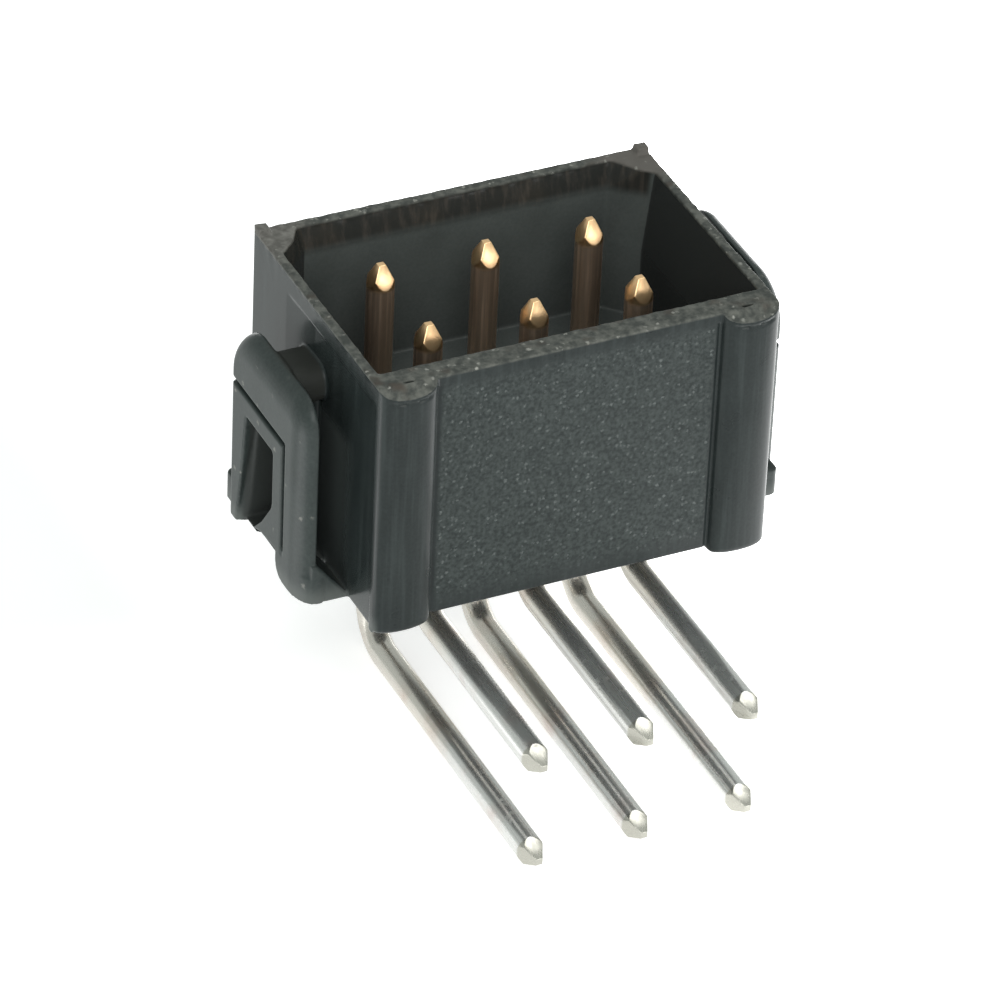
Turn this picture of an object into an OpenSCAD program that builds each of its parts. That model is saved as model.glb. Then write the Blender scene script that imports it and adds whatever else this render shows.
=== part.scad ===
// Right-angle pin header: a latching shroud with two rows of three round contacts.
// The contacts stand up inside the shroud, bend below its underside and run out towards the board.
// X runs along the rows, +Z is the mating direction and the board lies across -Y.
// The origin is the middle of the tail pattern, on the board face that the standoffs touch.

/* [Contacts] */
// Spacing of the contacts in the shroud, along a row and between the rows
pitch = 2; // [1.6:0.05:2.6]
// Spacing of the two rows of tails on the board
tail_pitch = 2; // [1.4:0.05:2.6]
// Diameter of the round contact wire
pin_d = 0.5; // [0.4:0.01:0.6]
// Depth of the mating tips below the rim
tip_depth = 0.22; // [0.05:0.01:1]
// Length of the coined point on each end of a contact
point_l = 0.42; // [0.2:0.01:0.6]
// Width of the flat left at the end of a coined point
point_flat = 0.2; // [0.1:0.01:0.3]
// Radius of the bend, on the middle of the wire
bend_r = 0.75; // [0.5:0.01:0.95]
// Length of the tails past the board face
tail_l = 3.15; // [1:0.05:5]
// Gap around each contact in the floor of the shroud
pin_gap = 0.01; // [0.005:0.005:0.03]

/* [Shroud] */
// Outer contact to the outside of an end wall
end_margin = 1.75; // [1.5:0.01:2.2]
// Front row of contacts to the front panel
front_margin = 1.83; // [1.4:0.01:2.4]
// Back row of contacts to the outside of the back wall
back_margin = 1.5; // [1.2:0.01:2.2]
// Height of the shroud, foot to rim
body_h = 5.03; // [4.6:0.01:7]
// Foot of the shroud above the upper row of tails
body_lift = 1.05; // [1:0.01:2]
// Rise of the underside between the two ends
under_step = 0.12; // [0.05:0.01:0.4]
// Depth of the cavity below the rim
cavity_depth = 3.02; // [2:0.01:3.6]
// Thickness of the end walls
end_wall = 0.34; // [0.28:0.01:0.5]
// Thickness of the front wall
front_wall = 0.44; // [0.38:0.01:0.7]
// Thickness of the back wall
back_wall = 0.3; // [0.22:0.01:0.5]
// Width left at the rim by the lead-in of the end walls
end_rim = 0.2; // [0.1:0.01:0.26]
// Width left at the rim by the lead-in of the back wall
back_rim = 0.08; // [0.05:0.01:0.2]
// Height of the lead-in below the rim
lead_h = 0.5; // [0.2:0.01:0.9]
// Reach of the keying corners along the back wall
key_x = 0.5; // [0.2:0.01:0.9]
// Reach of the keying corners along the end walls
key_y = 0.55; // [0.2:0.01:0.9]
// Depth of the shallow recess in the outside of each end wall
end_recess = 0.06; // [0.03:0.01:0.15]
// Middle of the contacts to the back edge of that recess
recess_aft = 0.65; // [0.3:0.01:1.2]
// Rim band left above that recess
rim_band = 0.4; // [0.2:0.01:0.8]
// Radius of the small pip on each back corner of the rim
pip_r = 0.11; // [0.05:0.01:0.14]
// Height of that pip above the rim
pip_h = 0.13; // [0.05:0.01:0.3]

/* [Standoffs] */
// How far the standoffs stand out from the front panel
standoff = 0.22; // [0.1:0.01:0.3]
// Width of each standoff
standoff_w = 1.07; // [0.8:0.01:1.3]
// Radius along the upright edges of the standoffs
standoff_r = 0.3; // [0.1:0.01:0.35]
// Drop of the standoffs' sloping tops below the rim
standoff_drop = 0.2; // [0.05:0.01:0.5]

/* [Latch ears] */
// Ear's outermost point to the outside of the end wall
ear_reach = 0.85; // [0.7:0.01:1.2]
// How much further out the +X ear stands than the -X ear
ear_skew_x = 0.12; // [0:0.01:0.2]
// How much further back the +X ear stands than a half turn of the -X ear would put it
ear_skew_y = 0.12; // [0:0.01:0.3]
// Thickness of the ear plate
ear_t = 0.33; // [0.28:0.01:0.45]
// Middle of the contacts to the ear's ridged edge
ear_fore = 1.65; // [1.4:0.01:1.9]
// Middle of the contacts to the ear's plain edge
ear_aft = 1.45; // [1.3:0.01:1.9]
// Top of the ear below the rim
ear_drop = 1; // [0.85:0.01:1.3]
// Radius of the ear's upper corner on the ridged side
ear_fore_r = 0.4; // [0.2:0.01:0.8]
// Radius of the ear's upper corner on the plain side
ear_aft_r = 0.8; // [0.2:0.01:0.9]
// Radius along the ear's outer upright edges
ear_edge_r = 0.22; // [0.1:0.01:0.27]
// Radius along the ear's outer top edge
ear_top_r = 0.12; // [0.05:0.01:0.27]
// Width of the groove that frames the latch panel
groove_w = 0.1; // [0.05:0.01:0.15]
// Depth of that groove
groove_depth = 0.1; // [0.05:0.01:0.15]
// Width of the ridge beside the latch panel
ridge_w = 0.85; // [0.6:0.01:1]
// Height of the ridge above the latch panel
ridge_h = 1.08; // [0.8:0.01:1.3]
// Height of the ear's lower edge above its foot
skirt = 0.52; // [0.1:0.01:0.6]
// Width of the latch window
window_w = 1.16; // [0.8:0.01:1.3]
// Width of the panel between the ridge and the window
window_side = 0.4; // [0.3:0.01:0.5]
// Height of the panel above the window
window_head = 0.53; // [0.3:0.01:0.8]
// Radius of the window's lower corner
window_r = 0.5; // [0.1:0.01:0.6]
// Lap of the wall behind the window past its edges
backing_lap = 0.2; // [0.1:0.01:0.3]
// Height of the feet that join the ear to the shroud
foot_h = 0.55; // [0.4:0.01:0.9]
// Set-back of the foot on the ridged side from the ear's outermost point
foot_fore_inset = 0.05; // [0.02:0.01:0.1]
// Set-back of the foot on the plain side from the ear's outermost point
foot_aft_inset = 0.16; // [0.1:0.01:0.3]
// How far the foot runs past the ear's ridged edge
foot_fore = 0.08; // [0.02:0.01:0.2]
// How far the foot runs past the ear's plain edge
foot_aft = 0.42; // [0.1:0.01:0.6]
// Radius of the foot's outer corner
foot_r = 0.22; // [0.1:0.01:0.3]
// Middle of the contacts to the web's face on the ridged side
web_fore = 0.6; // [0.4:0.01:0.8]
// Width of the web that ties the ear to the end wall
web_w = 1.1; // [0.7:0.01:1.4]
// Radius along the web's upper edges
web_r = 0.25; // [0.1:0.01:0.34]
// Drop of the web below the top of the ear
web_drop = 0.03; // [0:0.01:0.5]
// Drop of the ear's inner top edge beside the web
nick_h = 0.32; // [0.1:0.01:0.6]

/* [Hidden] */
$fn = 48;
cut = 0.2;
columns = 3;
pin_r = pin_d / 2;

half_w = (columns - 1) / 2 * pitch + end_margin;
panel_y = standoff;
front_row_y = panel_y + front_margin;
back_row_y = front_row_y + pitch;
mid_y = front_row_y + pitch / 2;
back_y = back_row_y + back_margin;
upper_tail_z = tail_pitch / 2;
lower_tail_z = -tail_pitch / 2;
foot_z = upper_tail_z + body_lift;
under_z = foot_z + under_step;
rim_z = foot_z + body_h;
floor_z = rim_z - cavity_depth;
tip_z = rim_z - tip_depth;

cavity_x = half_w - end_wall;
cavity_front = panel_y + front_wall;
cavity_back = back_y - back_wall;
key_end_y = cavity_back - key_y;
key_end_x = cavity_x - key_x;

ear_front = mid_y - ear_fore;
ear_back = mid_y + ear_aft;
ear_out = half_w + ear_reach;
ear_in = ear_out - ear_t;
ear_top = rim_z - ear_drop;
ridge_y = ear_front + ridge_w;
ridge_z = ear_top - ridge_h;
window_y0 = ridge_y + window_side;
window_y1 = window_y0 + window_w;
window_top = ridge_z - window_head;
skirt_z = foot_z + skirt;
foot_top = foot_z + foot_h;

black = [0.15, 0.16, 0.16];
gold = [0.85, 0.66, 0.3];
tin = [0.78, 0.78, 0.76];

// Point of a contact, narrowed to a small flat by four sloping coined faces
module coined_point() {
    slope = atan((pin_r - point_flat / 2) / point_l);
    difference() {
        cylinder(r = pin_r, h = point_l);
        for (turn = [0 : 90 : 270])
            rotate([0, 0, turn])
                translate([pin_r, 0, 0])
                    rotate([0, -slope, 0])
                        translate([0, -pin_d, -cut])
                            cube([pin_d, 2 * pin_d, point_l + 3 * cut]);
    }
}

// One contact: an upright mating pin, a quarter bend and a tail towards the board
module contact(column, row_y, tail_z) {
    bend_z = tail_z + bend_r;
    tail_start = row_y - bend_r;
    tail_run = tail_start + tail_l - point_l;
    translate([(column - (columns - 1) / 2) * pitch, 0, 0]) {
        color(gold) {
            translate([0, row_y, bend_z])
                cylinder(r = pin_r, h = tip_z - point_l - bend_z);
            translate([0, row_y, tip_z - point_l])
                coined_point();
        }
        color(tin) {
            translate([0, tail_start, bend_z])
                rotate([0, 90, 0])
                    rotate_extrude(angle = 90)
                        translate([bend_r, 0])
                            circle(r = pin_r);
            translate([0, tail_start, tail_z])
                rotate([90, 0, 0]) {
                    cylinder(r = pin_r, h = tail_run);
                    translate([0, 0, tail_run])
                        coined_point();
                }
        }
    }
}

// Box between two corners
module block(low, high) {
    translate(low)
        cube(high - low);
}

// Both ends of the shroud, one the mirror image of the other
module both_ends() {
    for (side = [0, 1])
        mirror([side, 0, 0])
            children();
}

// Upright bar with its two -Y edges rounded
module rounded_post(x0, x1, y0, y1, z0, z1, r) {
    block([x0 + r, y0, z0], [x1 - r, y1, z1]);
    block([x0, y0 + r, z0], [x1, y1, z1]);
    for (x = [x0 + r, x1 - r])
        translate([x, y0 + r, z0])
            cylinder(r = r, h = z1 - z0);
}

// Corner post that holds the shroud off the board, with a sloping top
module standoff_post() {
    intersection() {
        rounded_post(half_w - standoff_w, half_w, 0, cavity_front, foot_z, rim_z, standoff_r);
        rotate([90, 0, 90])
            linear_extrude(height = half_w + cut)
                polygon([[0, foot_z], [0, rim_z - standoff_drop], [panel_y, rim_z],
                         [cavity_front, rim_z], [cavity_front, foot_z]]);
    }
}

// Walls of the shroud before the cavity: raised between its ends, with a recess outside each end wall
module shell() {
    difference() {
        union() {
            block([-half_w + standoff_w / 2, panel_y, under_z], [half_w - standoff_w / 2, back_y, rim_z]);
            both_ends()
                block([half_w - standoff_w, cavity_front - cut / 4, foot_z], [half_w, back_y, rim_z]);
        }
        both_ends()
            block([half_w - end_recess, cavity_front, foot_z - cut],
                  [half_w + cut, mid_y + recess_aft, rim_z - rim_band]);
    }
}

// Piece that rounds off an upper corner of an outline, on its left or, flipped, on its right
module corner_waste(r, flip) {
    mirror([flip, 0])
        difference() {
            translate([-cut, 0])
                square([r + cut, r + cut]);
            translate([r, 0])
                circle(r = r);
        }
}

// Outline of the ear plate, seen from the end: y across and z up
module ear_outline() {
    difference() {
        translate([ear_front, foot_z])
            square([ear_back - ear_front, ear_top - foot_z]);
        translate([ear_front, ear_top - ear_fore_r])
            corner_waste(ear_fore_r, 0);
        translate([ear_back, ear_top - ear_aft_r])
            corner_waste(ear_aft_r, 1);
    }
}

// Plate of the ear, with rounded outer edges
module ear_plate() {
    edge_x = ear_out - ear_edge_r;
    crest_x = ear_out - ear_top_r;
    intersection() {
        translate([ear_in, 0, 0])
            rotate([90, 0, 90])
                linear_extrude(height = ear_t)
                    ear_outline();
        union() {
            block([ear_in, ear_front, foot_z], [edge_x, ear_back, ear_top]);
            block([ear_in, ear_front + ear_edge_r, foot_z], [ear_out, ear_back - ear_edge_r, ear_top]);
            for (y = [ear_front + ear_edge_r, ear_back - ear_edge_r])
                translate([edge_x, y, foot_z])
                    cylinder(r = ear_edge_r, h = ear_top - foot_z);
        }
        union() {
            block([ear_in, ear_front, foot_z], [ear_out, ear_back, ear_top - ear_top_r]);
            block([ear_in, ear_front, foot_z], [crest_x, ear_back, ear_top]);
            translate([crest_x, ear_front, ear_top - ear_top_r])
                rotate([-90, 0, 0])
                    cylinder(r = ear_top_r, h = ear_back - ear_front);
        }
    }
}

// Opening of the latch window, with one rounded lower corner and an open bottom behind it
module window_cut() {
    corner_y = window_y0 + window_r;
    corner_z = skirt_z + window_r;
    block([ear_in, corner_y, foot_z - cut], [ear_out + cut, window_y1, window_top]);
    block([ear_in, window_y0, corner_z], [ear_out + cut, corner_y, window_top]);
    translate([ear_in, corner_y, corner_z])
        rotate([0, 90, 0])
            cylinder(r = window_r, h = ear_t + cut);
    block([ear_in, ridge_y, foot_z - cut], [ear_out + cut, window_y1, skirt_z]);
}

// Groove that frames the latch panel along its top and its ridged side
module groove_cut() {
    groove_x = ear_out - groove_depth;
    block([groove_x, ridge_y - groove_w, ridge_z], [ear_out + cut, ear_back + cut, ridge_z + groove_w]);
    block([groove_x, ridge_y - groove_w, foot_z - cut], [ear_out + cut, ridge_y, ridge_z + groove_w]);
}

// Step in the inner top edge of the ear, from the web to the ridged side
module nick_cut() {
    block([ear_in - cut, ear_front - cut, ear_top - nick_h],
          [ear_in + ear_t / 2, mid_y - web_fore, ear_top + cut]);
}

// Web that ties the ear to the end wall, with rounded upper edges
module web(wall_x) {
    y0 = mid_y - web_fore;
    y1 = y0 + web_w;
    top = ear_top - web_drop;
    block([wall_x, y0, foot_z], [ear_in, y1, top - web_r]);
    block([wall_x, y0 + web_r, foot_z], [ear_in, y1 - web_r, top]);
    for (y = [y0 + web_r, y1 - web_r])
        translate([wall_x, y, top - web_r])
            rotate([0, 90, 0])
                cylinder(r = web_r, h = ear_in - wall_x);
}

// Feet that join the lower edge of the ear to the shroud
module feet(wall_x) {
    fore_x = ear_out - foot_fore_inset;
    fore_y = ear_front - foot_fore;
    aft_x = ear_out - foot_aft_inset;
    block([wall_x, fore_y, foot_z], [fore_x - foot_r, ridge_y, foot_top]);
    block([wall_x, fore_y + foot_r, foot_z], [fore_x, ridge_y, foot_top]);
    translate([fore_x - foot_r, fore_y + foot_r, foot_z])
        cylinder(r = foot_r, h = foot_h);
    block([wall_x, window_y1, foot_z], [aft_x, ear_back + foot_aft, foot_top]);
    block([wall_x, ridge_y - backing_lap, foot_z], [ear_in, window_y1 + backing_lap, foot_top]);
}

// Wall behind the window
module backing(wall_x) {
    block([wall_x, window_y0 - backing_lap, foot_z],
          [ear_in, window_y1 + backing_lap, window_top + backing_lap]);
}

// Latch ear of the +X end, with its ridge towards the board
module ear() {
    wall_x = half_w - end_wall;
    difference() {
        ear_plate();
        groove_cut();
        window_cut();
        nick_cut();
    }
    web(wall_x);
    feet(wall_x);
    backing(wall_x);
}

// Room inside the shroud, with two keying corners along the back wall
module cavity() {
    translate([0, 0, floor_z])
        linear_extrude(height = cavity_depth + cut)
            polygon([[-cavity_x, cavity_front], [cavity_x, cavity_front], [cavity_x, key_end_y],
                     [key_end_x, cavity_back], [-key_end_x, cavity_back], [-cavity_x, key_end_y]]);
    both_ends()
        end_lead_in();
    back_lead_in();
}

// Sloping lead-in along the top of the +X end wall
module end_lead_in() {
    lead = end_wall - end_rim;
    translate([0, key_end_y, 0])
        rotate([90, 0, 0])
            linear_extrude(height = key_end_y - cavity_front)
                polygon([[cavity_x - cut, rim_z - lead_h], [cavity_x, rim_z - lead_h],
                         [cavity_x + lead, rim_z], [cavity_x + lead, rim_z + cut],
                         [cavity_x - cut, rim_z + cut]]);
}

// Sloping lead-in along the top of the back wall
module back_lead_in() {
    lead = back_wall - back_rim;
    translate([-key_end_x, 0, 0])
        rotate([90, 0, 90])
            linear_extrude(height = 2 * key_end_x)
                polygon([[cavity_back - cut, rim_z - lead_h], [cavity_back, rim_z - lead_h],
                         [cavity_back + lead, rim_z], [cavity_back + lead, rim_z + cut],
                         [cavity_back - cut, rim_z + cut]]);
}

// Small round pip on the +X back corner of the rim
module corner_pip() {
    translate([half_w - pip_r, back_y - pip_r, rim_z - lead_h])
        cylinder(r = pip_r, h = lead_h + pip_h);
}

// Holes in the floor that the contacts are pressed through
module contact_holes() {
    for (column = [0 : columns - 1])
        for (row_y = [front_row_y, back_row_y])
            translate([(column - (columns - 1) / 2) * pitch, row_y, foot_z - cut])
                cylinder(r = pin_r + pin_gap, h = floor_z - foot_z + 2 * cut);
}

// The moulded shroud with its standoffs and latch ears, the ears turned half round from each other
module housing() {
    color(black)
        difference() {
            union() {
                shell();
                both_ends() {
                    standoff_post();
                    corner_pip();
                }
                mirror([1, 0, 0])
                    ear();
                translate([ear_skew_x, 2 * mid_y + ear_skew_y, 0])
                    mirror([0, 1, 0])
                        ear();
            }
            cavity();
            contact_holes();
        }
}

module pin_back_left() { contact(0, back_row_y, lower_tail_z); }
module pin_back_middle() { contact(1, back_row_y, lower_tail_z); }
module pin_back_right() { contact(2, back_row_y, lower_tail_z); }
module pin_front_left() { contact(0, front_row_y, upper_tail_z); }
module pin_front_middle() { contact(1, front_row_y, upper_tail_z); }
module pin_front_right() { contact(2, front_row_y, upper_tail_z); }

housing();
pin_back_left();
pin_back_middle();
pin_back_right();
pin_front_left();
pin_front_middle();
pin_front_right();
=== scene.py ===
import math

import bmesh
import bpy
from mathutils import Matrix, Vector, noise


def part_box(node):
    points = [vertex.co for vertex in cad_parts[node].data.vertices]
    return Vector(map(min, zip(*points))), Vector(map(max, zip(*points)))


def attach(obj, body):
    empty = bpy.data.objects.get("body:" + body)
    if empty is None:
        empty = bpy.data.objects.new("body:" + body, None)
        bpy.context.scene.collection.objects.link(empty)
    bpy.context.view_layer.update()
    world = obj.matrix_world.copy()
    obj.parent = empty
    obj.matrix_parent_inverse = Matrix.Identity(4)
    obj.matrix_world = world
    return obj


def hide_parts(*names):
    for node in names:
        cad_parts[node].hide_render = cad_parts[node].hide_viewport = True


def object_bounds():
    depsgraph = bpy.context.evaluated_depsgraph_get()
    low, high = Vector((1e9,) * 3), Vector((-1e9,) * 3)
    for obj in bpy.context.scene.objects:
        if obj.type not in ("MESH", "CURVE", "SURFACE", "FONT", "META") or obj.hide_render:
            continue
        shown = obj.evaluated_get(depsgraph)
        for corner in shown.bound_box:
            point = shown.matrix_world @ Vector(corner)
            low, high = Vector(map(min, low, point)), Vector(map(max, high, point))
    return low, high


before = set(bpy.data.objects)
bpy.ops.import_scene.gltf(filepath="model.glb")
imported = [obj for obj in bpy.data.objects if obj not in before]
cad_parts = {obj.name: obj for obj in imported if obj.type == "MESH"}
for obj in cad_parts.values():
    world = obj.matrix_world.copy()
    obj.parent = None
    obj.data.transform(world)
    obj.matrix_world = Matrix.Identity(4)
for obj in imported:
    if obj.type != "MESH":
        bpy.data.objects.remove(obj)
cad_low, cad_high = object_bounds()

# Housing: one black glass-filled moulding, a keyed shroud around the contacts.
# Two standoff posts at its front corners hold it off the board, and a latch ear stands on each end.
# It is moulded in one shot, so everything below is fused into a single skin with softened edges.
MM = 0.001
housing_low, housing_high = (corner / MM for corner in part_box("housing"))
HALF_W = 3.75
PANEL_Y = 0.22
BACK_Y = housing_high.y
FOOT_Z = housing_low.z
UNDER_Z = FOOT_Z + 0.12
PIP_H = 0.13
RIM_Z = housing_high.z - PIP_H
FLOOR_Z = RIM_Z - 3.02
MID_Y = 3.05
PITCH, HOLE_R = 2, 0.26
POST_W, POST_DROP, POST_SQUARENESS = 1.07, 0.2, 2.2
CAVITY_X, CAVITY_FRONT, CAVITY_BACK = HALF_W - 0.34, PANEL_Y + 0.44, BACK_Y - 0.3
KEY_X, KEY_Y, KEY_R = 0.5, 0.55, 0.12
LEAD_H, BACK_LEAD = 0.5, 0.13
END_LEAD, END_LEAD_H = 0.17, 1.6
RECESS, RECESS_FRONT, RECESS_BACK, RECESS_RUN, RIM_BAND = 0.06, 0.36, MID_Y - 0.05, 2.2, 0.4
CREASE, CREASE_DEEP = 0.09, 0.06
SPARE, HAIR = 0.2, 0.01


def rounded(corners, steps=12):
    """Closed outline through (u, v, radius) corners, each turned on its own radius."""
    points = []
    for i, (u, v, radius) in enumerate(corners):
        here = Vector((u, v))
        if radius == 0:
            points.append(here)
            continue
        before = (Vector(corners[i - 1][:2]) - here).normalized()
        after = (Vector(corners[(i + 1) % len(corners)][:2]) - here).normalized()
        half = before.angle(after) / 2
        centre = here + (before + after).normalized() * radius / math.sin(half)
        first = here + before * radius / math.tan(half) - centre
        last = here + after * radius / math.tan(half) - centre
        start = math.atan2(first.y, first.x)
        turn = (math.atan2(last.y, last.x) - start + math.pi) % (2 * math.pi) - math.pi
        for k in range(steps + 1):
            angle = start + turn * k / steps
            points.append(centre + radius * Vector((math.cos(angle), math.sin(angle))))
    return points


def square(u0, v0, u1, v1, radius=0):
    """Rectangle outline, with all its corners turned on one radius."""
    return rounded([(u0, v0, radius), (u1, v0, radius), (u1, v1, radius), (u0, v1, radius)])


def disc(u, v, radius, sides=48):
    """Round outline about a point."""
    turns = [2 * math.pi * k / sides for k in range(sides)]
    return [Vector((u + radius * math.cos(a), v + radius * math.sin(a))) for a in turns]


def loft(outlines, axis, depths):
    """Closed body through like outlines in the two other axes, set at depths along one, in millimetres."""
    order = {"x": (2, 0, 1), "y": (0, 2, 1), "z": (0, 1, 2)}[axis]
    mesh = bmesh.new()
    rings = []
    for outline, depth in zip(outlines, depths):
        triples = [(p[0], p[1], depth) for p in outline]
        rings.append([mesh.verts.new([t[i] for i in order]) for t in triples])
    mesh.faces.new(rings[0])
    mesh.faces.new(rings[-1])
    for near, far in zip(rings, rings[1:]):
        for i in range(len(near)):
            j = (i + 1) % len(near)
            mesh.faces.new((near[i], near[j], far[j], far[i]))
    bmesh.ops.recalc_face_normals(mesh, faces=mesh.faces)
    return mesh


def bar(outline, axis, low, high):
    """Closed bar: one outline drawn from low to high along an axis."""
    return loft([outline, outline], axis, [low, high])


def piece_of(name, mesh):
    """Object that holds a bmesh, linked to the scene."""
    data = bpy.data.meshes.new(name)
    mesh.to_mesh(data)
    mesh.free()
    made = bpy.data.objects.new(name, data)
    bpy.context.scene.collection.objects.link(made)
    return made


def settle(piece):
    """Turn the piece's modifiers into its own mesh."""
    bpy.context.view_layer.update()
    done = piece.evaluated_get(bpy.context.evaluated_depsgraph_get())
    settled = bpy.data.meshes.new_from_object(done)
    piece.modifiers.clear()
    spent = piece.data
    piece.data = settled
    settled.name = piece.name
    bpy.data.meshes.remove(spent)


def combine(piece, operation, bars):
    """Join bars to a piece, or cut them out of it."""
    tools = [piece_of("tool", each) for each in bars]
    for tool in tools:
        step = piece.modifiers.new("combine", "BOOLEAN")
        step.operation = operation
        step.solver = "MANIFOLD"
        step.object = tool
    settle(piece)
    for tool in tools:
        data = tool.data
        bpy.data.objects.remove(tool)
        bpy.data.meshes.remove(data)


def flip(mesh, matrix):
    """Move a bmesh by a matrix that mirrors it."""
    bmesh.ops.transform(mesh, matrix=matrix, verts=mesh.verts)
    bmesh.ops.reverse_faces(mesh, faces=mesh.faces)
    return mesh


MIRROR_X = Matrix.Diagonal((-1, 1, 1, 1))


def both_ends(make):
    """A bar for the +X end and its mirror image for the -X end."""
    return [make(), flip(make(), MIRROR_X)]


def soften(mesh, chosen, radius, steps=10):
    """Round the edges of a bmesh that a test on their two ends picks."""
    edges = [e for e in mesh.edges if chosen(*(v.co for v in e.verts))]
    bmesh.ops.bevel(mesh, geom=edges, offset=radius, segments=steps, profile=0.5,
                    affect="EDGES", clamp_overlap=False)
    return mesh


POST_X = HALF_W - POST_W / 2


def post(steps=40):
    """Standoff post of the +X end, with a bowed front and a foot rolled under."""
    outline = [Vector((HALF_W, CAVITY_FRONT + SPARE)), Vector((HALF_W - POST_W, CAVITY_FRONT + SPARE))]
    for k in range(steps + 1):
        turn = math.pi * k / steps
        across = math.copysign(abs(math.cos(turn)) ** (2 / POST_SQUARENESS), -math.cos(turn))
        forward = math.sin(turn) ** (2 / POST_SQUARENESS)
        outline.append(Vector((POST_X + POST_W / 2 * across, PANEL_Y * (1 - forward))))
    mesh = bar(outline, "z", FOOT_Z, RIM_Z)
    return soften(mesh, lambda a, b: max(a.z, b.z) < FOOT_Z + HAIR and max(a.y, b.y) < PANEL_Y + HAIR, 0.12)


def post_crease():
    """Shallow crease in the panel, along the inner side of the post."""
    near, far = HALF_W - POST_W + 0.02, HALF_W - POST_W - CREASE
    outline = [(far, PANEL_Y - SPARE), (near, PANEL_Y - SPARE), (near, PANEL_Y + CREASE_DEEP),
               (far, PANEL_Y)]
    return bar(outline, "z", FOOT_Z - SPARE, RIM_Z - POST_DROP)


def post_slope():
    """Waste above the post's sloping top."""
    outline = [(-SPARE, RIM_Z - POST_DROP - SPARE * POST_DROP / PANEL_Y), (PANEL_Y, RIM_Z),
               (PANEL_Y, RIM_Z + SPARE), (-SPARE, RIM_Z + SPARE)]
    return bar(outline, "x", HALF_W - POST_W - SPARE, HALF_W + SPARE)


def post_lip():
    """Thin groove under the lip of the post's sloping top."""
    deep, below, wide = 0.07, 0.05, 0.07
    slope = POST_DROP / PANEL_Y
    front, back = RIM_Z - POST_DROP - SPARE * slope - below, RIM_Z - POST_DROP + deep * slope - below
    return bar([(-SPARE, front), (deep, back), (deep, back - wide), (-SPARE, front - wide)], "x",
               HALF_W - POST_W, HALF_W)


def post_slit():
    """Short slit that the mould leaves in the rim behind the post."""
    outline = square(POST_X - 0.15, PANEL_Y + 0.03, POST_X + 0.07, PANEL_Y + 0.09, 0.02)
    return bar(outline, "z", RIM_Z - 0.16, RIM_Z + SPARE)


EAR_OUT, EAR_T = HALF_W + 0.85, 0.33
EAR_IN = EAR_OUT - EAR_T
EAR_FRONT, EAR_BACK, EAR_TOP = MID_Y - 1.65, MID_Y + 1.45, RIM_Z - 1.0
EAR_BULLNOSE, EAR_ROLL, EAR_SKEW, EAR_LIFT, EAR_RISE = 0.32, 0.5, 0.12, 0.1, 0.1
RIDGE_Y, RIDGE_Z = EAR_FRONT + 0.85, EAR_TOP - 1.23
LEG_BACK = RIDGE_Y + 0.2
WINDOW_Y0, WINDOW_Y1, WINDOW_FLARE = RIDGE_Y + 0.4, RIDGE_Y + 1.56, 0.4
WINDOW_TOP, WINDOW_DEEP, POCKET_X = EAR_TOP - 1.61, 0.234, HALF_W + 0.05
SKIRT_Z, FOOT_TOP = FOOT_Z + 0.52, FOOT_Z + 0.55
GROOVE, GROOVE_DEEP = 0.11, 0.14
WALL_X = CAVITY_X
WEB_FRONT, WEB_BACK, KNOB_FRONT, KNOB_H = MID_Y - 0.32, MID_Y + 0.5, MID_Y - 0.62, 0.72
HALF_TURN = Matrix.Translation((EAR_SKEW, 2 * MID_Y + EAR_SKEW, EAR_LIFT)) @ Matrix.Diagonal((1, -1, 1, 1))
EAR_PLACES = [(MIRROR_X, EAR_TOP), (HALF_TURN, EAR_TOP + EAR_RISE)]


def ear_plate(ear_top, steps=12):
    """Plate of a latch ear, rolled over along its front, top and back."""
    outlines, depths = [], []
    for k in range(steps + 1):
        turn = math.pi / 2 * k / steps
        edge = EAR_ROLL * (1 - math.cos(turn))
        front, back, top = EAR_FRONT + edge, EAR_BACK - 0.25 * edge, ear_top - edge
        outlines.append(rounded([(front, FOOT_Z, 0), (back, FOOT_Z, 0), (back, top, 0.8 - 0.6 * edge),
                                 (front, top, 0.6 - edge)], 14))
        depths.append(EAR_OUT - EAR_BULLNOSE * (1 - math.sin(turn)))
    return loft([outlines[0], *outlines], "x", [EAR_IN, *depths])


def window_edge(flare):
    """Outline of the window, with a curved sill, open at the bottom behind it and flared along its back."""
    sill, bottom = WINDOW_Y0 + 0.75, FOOT_Z - SPARE
    return rounded([(WINDOW_Y0, WINDOW_TOP, 0.05), (WINDOW_Y0, SKIRT_Z + 0.75, 0.35),
                    (WINDOW_Y0 + 0.42, SKIRT_Z + 0.18, 0.3), (sill, SKIRT_Z - 0.15, 0), (sill, bottom, 0),
                    (WINDOW_Y1 + flare, bottom, 0), (WINDOW_Y1, WINDOW_TOP, 0.05)])


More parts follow.
